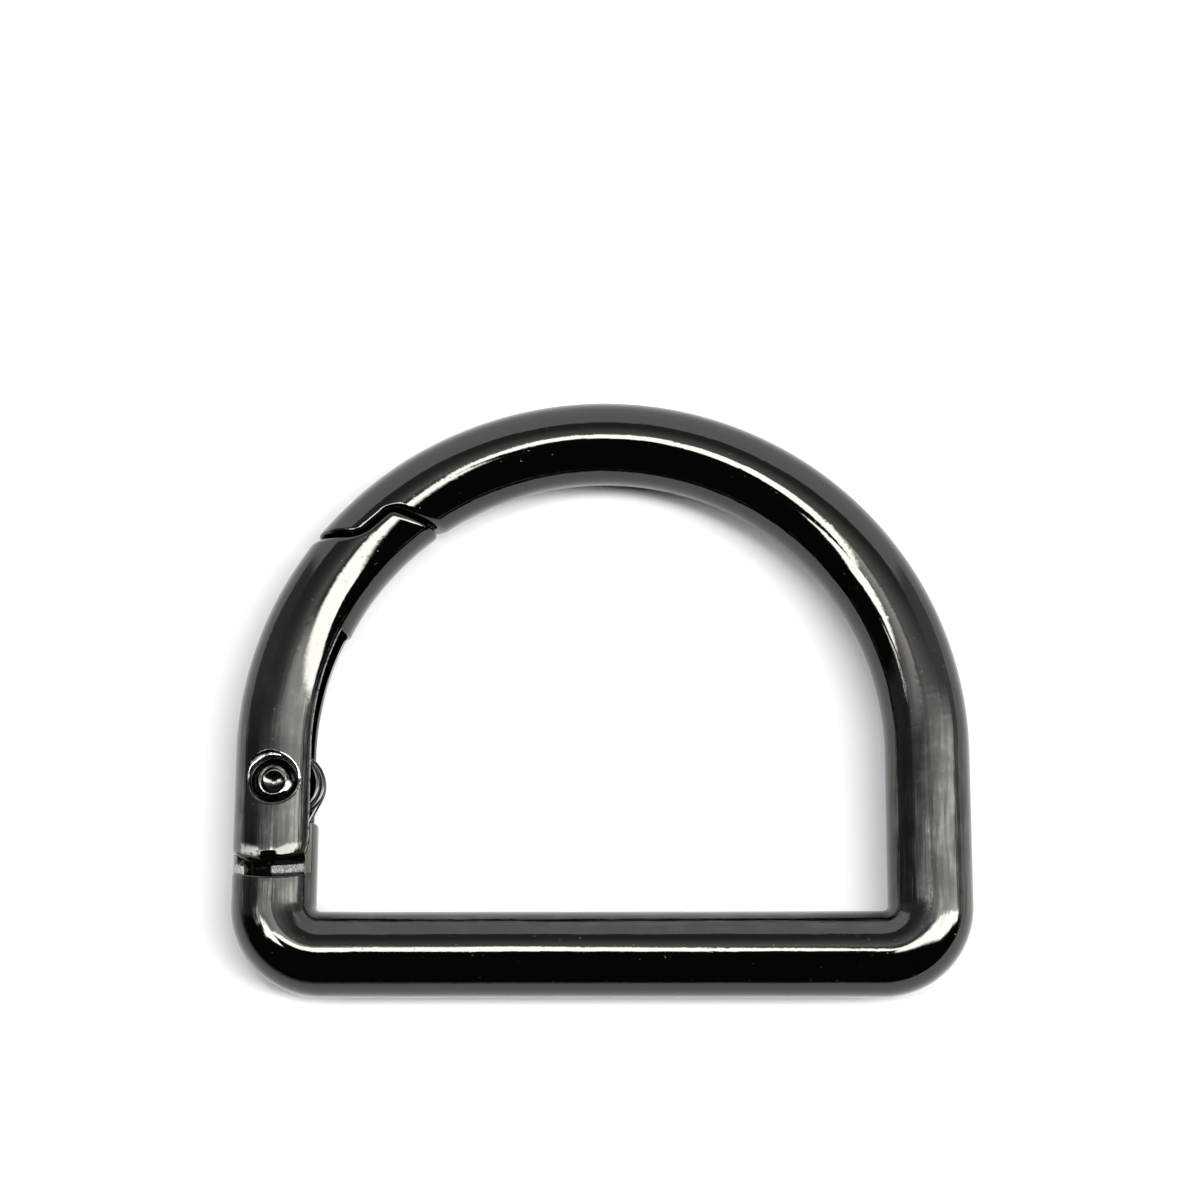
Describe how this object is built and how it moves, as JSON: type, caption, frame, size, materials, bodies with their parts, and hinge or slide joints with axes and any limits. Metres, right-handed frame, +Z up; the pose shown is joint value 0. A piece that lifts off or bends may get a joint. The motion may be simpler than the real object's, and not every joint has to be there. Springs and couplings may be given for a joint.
{
  "type": "spring gate d-ring",
  "caption": "Polished D-ring of round bar with a spring-closed hinged gate in its arc, for clipping a strap end to another ring.",
  "frame": {"origin": "middle of the ring's outline, on the surface that it lies on", "axes": "+X along the straight bar, +Y from the straight bar towards the arc, +Z up, through the flat ring"},
  "size_m": [0.0494, 0.0412, 0.0057],
  "materials": {
    "gunmetal": "polished cast zinc, plated dark gunmetal",
    "gate_gunmetal": "polished cast zinc, plated dark gunmetal",
    "pin_metal": "plated steel rivet with punched hollow ends",
    "spring_steel": "bright drawn spring wire"
  },
  "bodies": {
    "ring_body": {"frame": "gunmetal", "spring": "spring_steel"},
    "gate_body": {"gate": "gate_gunmetal", "hinge_pin": "pin_metal"}
  },
  "joints": [
    {"name": "gate_hinge", "type": "hinge", "parent": "ring_body", "child": "gate_body", "pos_m": [-0.02185, -0.00637, 0.00285], "axis": [0, 0, -1], "range_deg": [0, 40], "stiffness_Nm_per_rad": 0.0093, "springref_deg": -60.16, "deforming": ["spring"]}
  ]
}
